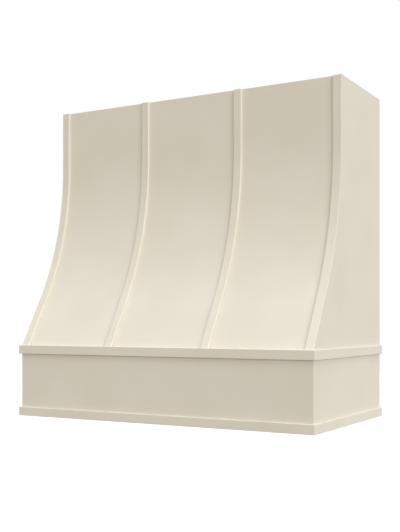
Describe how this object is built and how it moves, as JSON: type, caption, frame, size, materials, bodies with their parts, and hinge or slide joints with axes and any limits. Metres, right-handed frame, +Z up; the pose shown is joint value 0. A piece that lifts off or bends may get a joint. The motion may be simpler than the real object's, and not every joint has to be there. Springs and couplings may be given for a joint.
{
  "type": "range hood cover",
  "caption": "Painted wooden range hood cover: upright front sweeping out to a box apron, flat straps and trim, hollow for liner and duct, hung on the wall by a bevelled cleat.",
  "frame": {"origin": "middle of the lower back rail's bottom edge, on the wall plane at the cover's underside", "axes": "+X to the right as seen from the room, +Y into the wall, +Z up"},
  "size_m": [0.9284, 0.5065, 0.917],
  "materials": {
    "painted_wood": "satin cream paint over plywood and smooth board",
    "birch_plywood": "raw birch plywood",
    "bending_plywood": "raw bending plywood",
    "pine": "raw planed pine",
    "zinc_steel": "zinc plated"
  },
  "bodies": {
    "wall_side": {"wall_cleat": "birch_plywood"},
    "hood": {"side_panel_left": "painted_wood", "side_panel_right": "painted_wood", "apron_front": "painted_wood", "front_face": "painted_wood", "strap_outer_left": "painted_wood", "strap_inner_left": "painted_wood", "strap_inner_right": "painted_wood", "strap_outer_right": "painted_wood", "trim_upper_front": "painted_wood", "trim_upper_left": "painted_wood", "trim_upper_right": "painted_wood", "trim_lower_front": "painted_wood", "trim_lower_left": "painted_wood", "trim_lower_right": "painted_wood", "top_panel": "birch_plywood", "shelf_panel": "birch_plywood", "rib_left": "birch_plywood", "rib_right": "birch_plywood", "hanging_rail": "birch_plywood", "lower_back_rail": "birch_plywood", "hood_cleat": "birch_plywood", "front_core": "bending_plywood", "ledge_front": "pine", "ledge_back": "pine", "ledge_left": "pine", "ledge_right": "pine", "corner_block_left": "pine", "corner_block_right": "pine", "top_panel_screws": "zinc_steel", "shelf_screws": "zinc_steel", "cleat_screws": "zinc_steel", "ledge_screws": "zinc_steel", "pocket_screws": "zinc_steel"}
  },
  "joints": [
    {"name": "lift_off_cleat", "type": "slide", "parent": "wall_side", "child": "hood", "axis": [0, 0, 1], "range_m": [0, 0.0254]}
  ]
}
